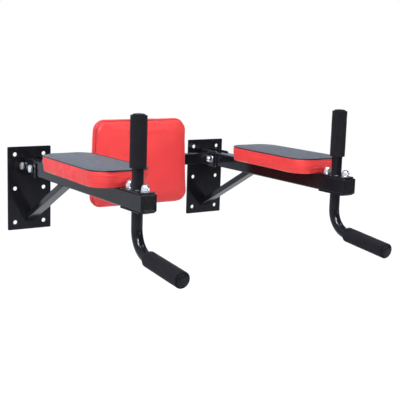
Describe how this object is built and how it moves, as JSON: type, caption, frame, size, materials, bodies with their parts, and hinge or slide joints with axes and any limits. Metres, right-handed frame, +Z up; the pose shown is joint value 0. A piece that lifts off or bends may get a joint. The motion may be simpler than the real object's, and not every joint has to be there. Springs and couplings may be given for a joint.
{
  "type": "dip station",
  "caption": "Wall-mounted dip station: cantilever arms with forearm pads, upright grips and bent lower handles, joined by a crossbar with a padded backrest.",
  "frame": {"origin": "on the wall, midway between the two wall plates and level with their centres", "axes": "+Z up, +X to the right along the wall for someone who faces the wall, +Y into the wall; the arms run towards -Y"},
  "size_m": [0.7042, 0.7638, 0.354],
  "materials": {
    "frame_paint": "gloss black powder coat on steel",
    "chrome_plate": "bright chrome plate",
    "zinc_steel": "zinc plate",
    "grip_foam": "matte closed-cell foam rubber",
    "black_plastic": "moulded, fine texture",
    "red_vinyl": "soft vinyl upholstery, satin",
    "grey_vinyl": "grained vinyl upholstery, matte",
    "board": "bare plywood"
  },
  "bodies": {
    "root": {"wall_plate_left": "frame_paint", "arm_bracket_left": "frame_paint", "arm_tube_left": "frame_paint", "arm_brace_left": "frame_paint", "post_flange_left": "frame_paint", "grip_post_left": "frame_paint", "handle_flange_left": "frame_paint", "lower_handle_left": "frame_paint", "crossbar_end_plate_left": "frame_paint", "handle_nut_rear_left": "chrome_plate", "handle_nut_front_left": "chrome_plate", "bracket_nut_rear_left": "chrome_plate", "bracket_nut_front_left": "chrome_plate", "handle_bolt_rear_left": "zinc_steel", "handle_bolt_front_left": "zinc_steel", "bracket_bolt_rear_left": "zinc_steel", "bracket_bolt_front_left": "zinc_steel", "pad_screw_rear_left": "zinc_steel", "pad_screw_front_left": "zinc_steel", "post_grip_left": "grip_foam", "handle_grip_left": "grip_foam", "arm_end_plug_left": "black_plastic", "post_cap_left": "black_plastic", "handle_cap_left": "black_plastic", "pad_cushion_left": "red_vinyl", "pad_top_left": "grey_vinyl", "pad_board_left": "board", "wall_plate_right": "frame_paint", "arm_bracket_right": "frame_paint", "arm_tube_right": "frame_paint", "arm_brace_right": "frame_paint", "post_flange_right": "frame_paint", "grip_post_right": "frame_paint", "handle_flange_right": "frame_paint", "lower_handle_right": "frame_paint", "crossbar_end_plate_right": "frame_paint", "handle_nut_rear_right": "chrome_plate", "handle_nut_front_right": "chrome_plate", "bracket_nut_rear_right": "chrome_plate", "bracket_nut_front_right": "chrome_plate", "handle_bolt_rear_right": "zinc_steel", "handle_bolt_front_right": "zinc_steel", "bracket_bolt_rear_right": "zinc_steel", "bracket_bolt_front_right": "zinc_steel", "pad_screw_rear_right": "zinc_steel", "pad_screw_front_right": "zinc_steel", "post_grip_right": "grip_foam", "handle_grip_right": "grip_foam", "arm_end_plug_right": "black_plastic", "post_cap_right": "black_plastic", "handle_cap_right": "black_plastic", "pad_cushion_right": "red_vinyl", "pad_top_right": "grey_vinyl", "pad_board_right": "board", "crossbar": "frame_paint", "backrest_bracket": "frame_paint", "backrest_cushion": "red_vinyl", "backrest_board": "board", "backrest_bolt_left": "zinc_steel", "backrest_bolt_right": "zinc_steel"}
  },
  "joints": []
}
